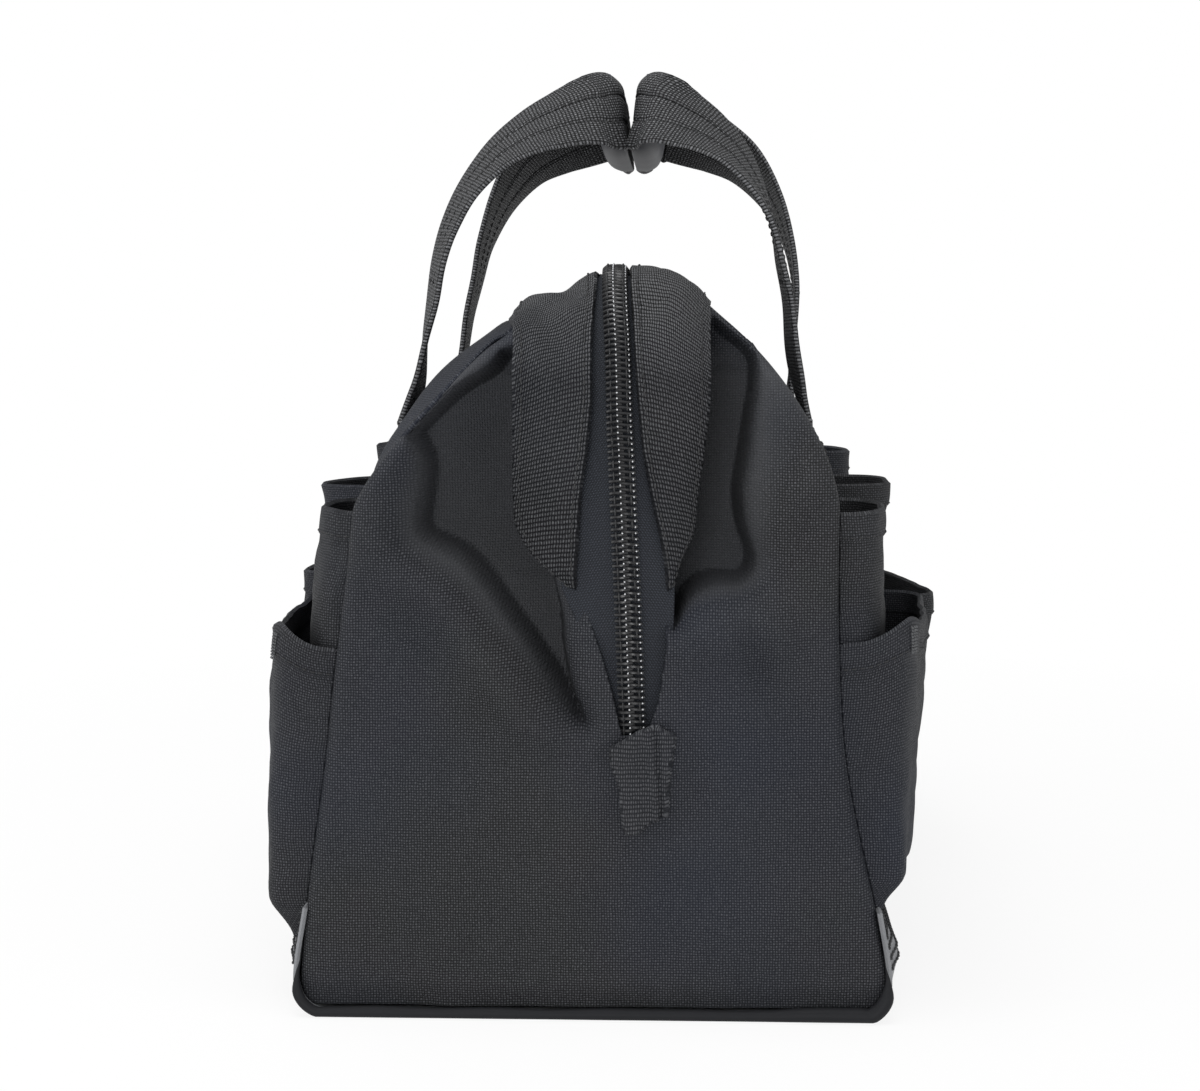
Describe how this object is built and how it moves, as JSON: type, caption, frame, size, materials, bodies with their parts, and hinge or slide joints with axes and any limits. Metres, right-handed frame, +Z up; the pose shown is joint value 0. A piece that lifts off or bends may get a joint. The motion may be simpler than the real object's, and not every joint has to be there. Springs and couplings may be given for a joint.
{
  "type": "tool bag",
  "caption": "Soft tool bag with open outer pockets, a coil zipper between folding mouth flaps, webbing handles and a vinyl base",
  "frame": {"origin": "on the floor under the middle of the base", "axes": "+X to the bag's right seen from its front end, +Y along the bag from its front end to its rear end, +Z up"},
  "size_m": [0.2744, 0.314, 0.3486],
  "materials": {
    "cloth": "coarse basket-woven polyester, matt black",
    "webbing": "heavy ribbed polyester webbing, charcoal",
    "zip_tape": "fine twill tape, blue-black",
    "zip_chain": "moulded nylon chain, black with pale glints",
    "grey_vinyl": "smooth grey coated vinyl, semi-gloss",
    "piping": "black vinyl binding, glossy",
    "board": "plain stiffener board",
    "grip_vinyl": "smooth padded vinyl, satin",
    "slider_metal": "black painted zinc, satin"
  },
  "bodies": {
    "root": {"base_shell": "grey_vinyl", "base_board": "board", "piping_front": "piping", "end_panel_front": "cloth", "zip_end_front": "zip_chain", "zip_tab_front": "webbing", "piping_rear": "piping", "end_panel_rear": "cloth", "zip_end_rear": "zip_chain", "zip_tab_rear": "webbing", "side_wall_left": "cloth", "strap_base_left_front": "webbing", "strap_base_left_rear": "webbing", "band_foot_front_left": "webbing", "band_foot_rear_left": "webbing", "side_wall_right": "cloth", "strap_base_right_front": "webbing", "strap_base_right_rear": "webbing", "band_foot_front_right": "webbing", "band_foot_rear_right": "webbing", "pocket_upper_left_front": "cloth", "pocket_upper_left_middle": "cloth", "pocket_upper_left_rear": "cloth", "pocket_lower_left_front": "cloth", "pocket_lower_left_rear": "cloth", "pocket_upper_right_front": "cloth", "pocket_upper_right_middle": "cloth", "pocket_upper_right_rear": "cloth", "pocket_lower_right_front": "cloth", "pocket_lower_right_rear": "cloth"},
    "mouth_left": {"flap_left": "cloth", "zip_tape_left": "zip_tape", "zip_coil_left": "zip_chain", "zip_band_left": "webbing", "gusset_front_left": "cloth", "gusset_rear_left": "cloth", "strap_root_left_front": "webbing", "strap_root_left_rear": "webbing", "zip_coil_left_rear": "zip_chain"},
    "mouth_right": {"flap_right": "cloth", "zip_tape_right": "zip_tape", "zip_coil_right": "zip_chain", "zip_band_right": "webbing", "gusset_front_right": "cloth", "gusset_rear_right": "cloth", "strap_root_right_front": "webbing", "strap_root_right_rear": "webbing"},
    "slider": {"zip_slider": "slider_metal"},
    "pull": {"zip_pull": "slider_metal"},
    "handle_left": {"handle_strap_left": "webbing", "grip_pad_left": "grip_vinyl"},
    "handle_right": {"handle_strap_right": "webbing", "grip_pad_right": "grip_vinyl"}
  },
  "joints": [
    {"name": "mouth_left_fold", "type": "hinge", "parent": "root", "child": "mouth_left", "pos_m": [-0.088, 0, 0.178], "axis": [0, -1, 0], "range_deg": [0, 35]},
    {"name": "mouth_right_fold", "type": "hinge", "parent": "root", "child": "mouth_right", "pos_m": [0.088, 0, 0.178], "axis": [0, 1, 0], "range_deg": [0, 35]},
    {"name": "slider_run", "type": "slide", "parent": "mouth_right", "child": "slider", "axis": [0, -1, 0], "range_m": [0, 0.158]},
    {"name": "pull_swing", "type": "hinge", "parent": "slider", "child": "pull", "pos_m": [0.006, 0.076, 0.2717], "axis": [-1, 0, 0], "range_deg": [0, 170]},
    {"name": "handle_left_fold", "type": "hinge", "parent": "mouth_left", "child": "handle_left", "pos_m": [-0.07981, 0, 0.206], "axis": [0, -1, 0], "range_deg": [0, 110]},
    {"name": "handle_right_fold", "type": "hinge", "parent": "mouth_right", "child": "handle_right", "pos_m": [0.0811, 0, 0.206], "axis": [0, 1, 0], "range_deg": [0, 110]}
  ]
}
